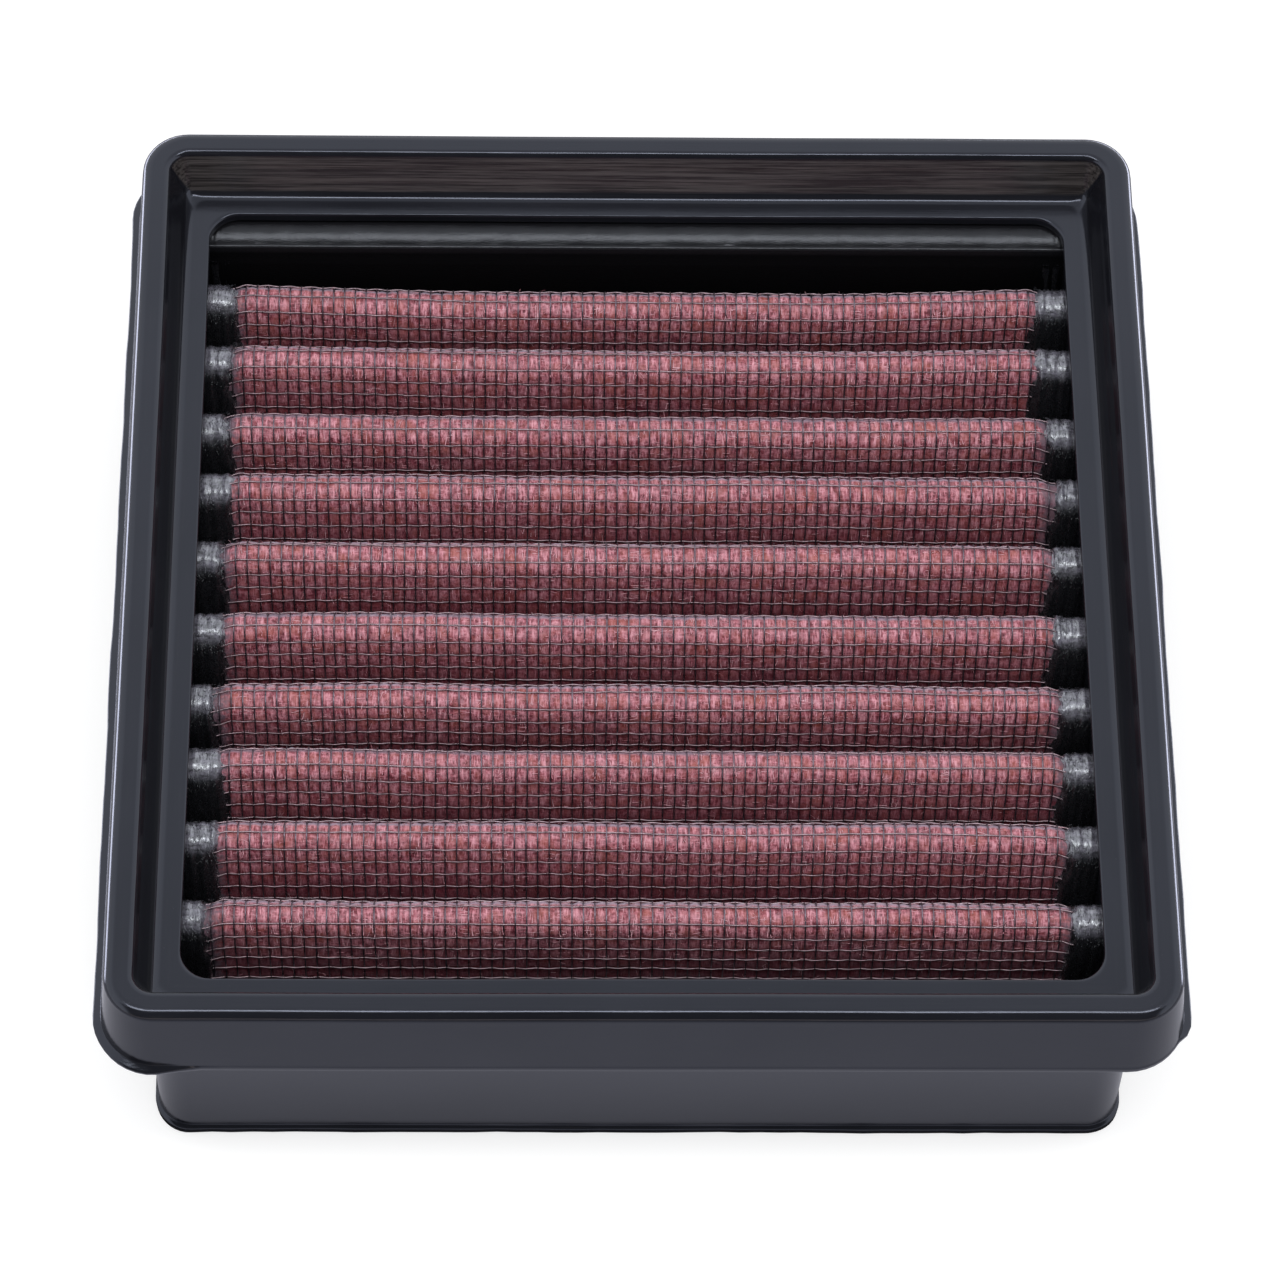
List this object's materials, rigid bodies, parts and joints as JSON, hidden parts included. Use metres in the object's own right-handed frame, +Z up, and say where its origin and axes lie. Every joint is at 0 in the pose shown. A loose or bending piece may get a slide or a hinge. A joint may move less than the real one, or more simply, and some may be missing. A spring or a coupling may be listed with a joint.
{
  "type": "panel air filter",
  "caption": "Square panel air filter for a motorcycle airbox: a stepped moulded rubber frame around a pleated, oiled cotton gauze pack held between woven wire screens.",
  "frame": {"origin": "centre of the skirt's bottom face, on the plane the filter stands on", "axes": "+Z up through the filter, from the skirt's foot to the rim; +X along the pleats; -Y is the front side"},
  "size_m": [0.1322, 0.1322, 0.0405],
  "materials": {
    "frame_rubber": "satin moulded",
    "screen_wire": "dark epoxy-coated aluminium wire",
    "oiled_gauze": "oiled cotton, dull red",
    "seal_rubber": "rough cast, black"
  },
  "bodies": {
    "root": {"frame": "frame_rubber", "upper_screen": "screen_wire", "gauze_ply_1": "oiled_gauze", "gauze_ply_2": "oiled_gauze", "gauze_ply_3": "oiled_gauze", "gauze_ply_4": "oiled_gauze", "lower_screen": "screen_wire", "left_end_seal": "seal_rubber", "right_end_seal": "seal_rubber", "front_edge_seal": "seal_rubber", "rear_edge_seal": "seal_rubber"}
  },
  "joints": []
}
